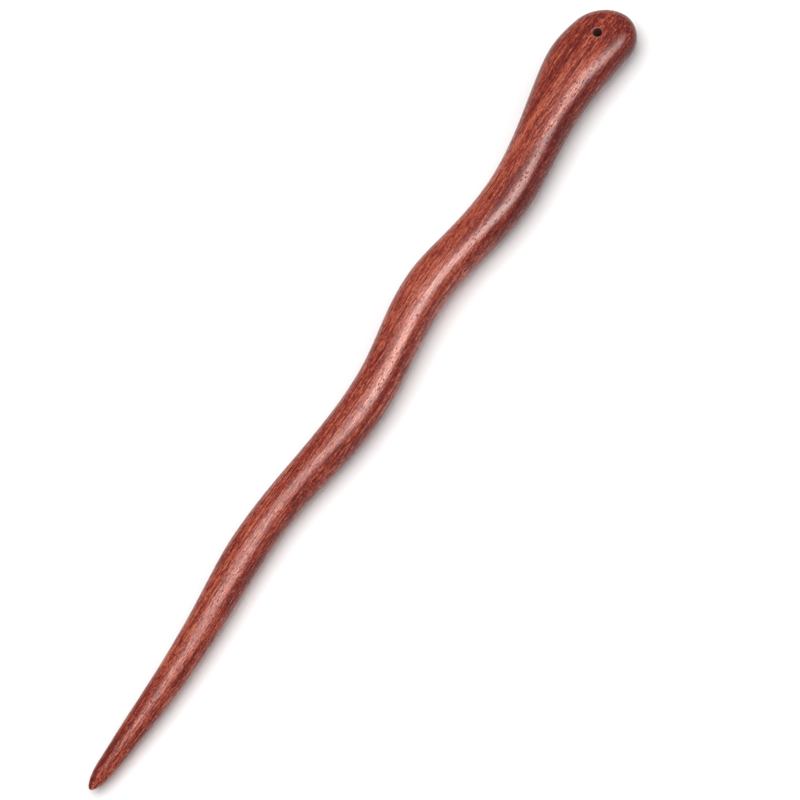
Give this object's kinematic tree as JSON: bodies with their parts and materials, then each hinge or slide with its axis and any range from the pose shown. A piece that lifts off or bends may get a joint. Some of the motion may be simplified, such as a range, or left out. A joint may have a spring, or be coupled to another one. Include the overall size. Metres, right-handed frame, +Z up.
{
  "type": "hair stick",
  "caption": "Wavy wooden hair stick, carved in one piece, with a broad rounded head, a small drilled cord hole and a slim shaft that thins to a blunt tip.",
  "frame": {"origin": "on the table under the middle of the stick: the centre of the bounding box's bottom face, with the stick lying flat on its underside", "axes": "+X along the stick from the tip towards the head, +Z up through the thickness and along the cord hole, +Y to the left edge when looking from the tip to the head"},
  "size_m": [0.18, 0.0142, 0.0086],
  "materials": {
    "polished_wood": "dark red, straight-grained hardwood, hand polished to a satin sheen"
  },
  "bodies": {
    "root": {"stick": "polished_wood"}
  },
  "joints": []
}
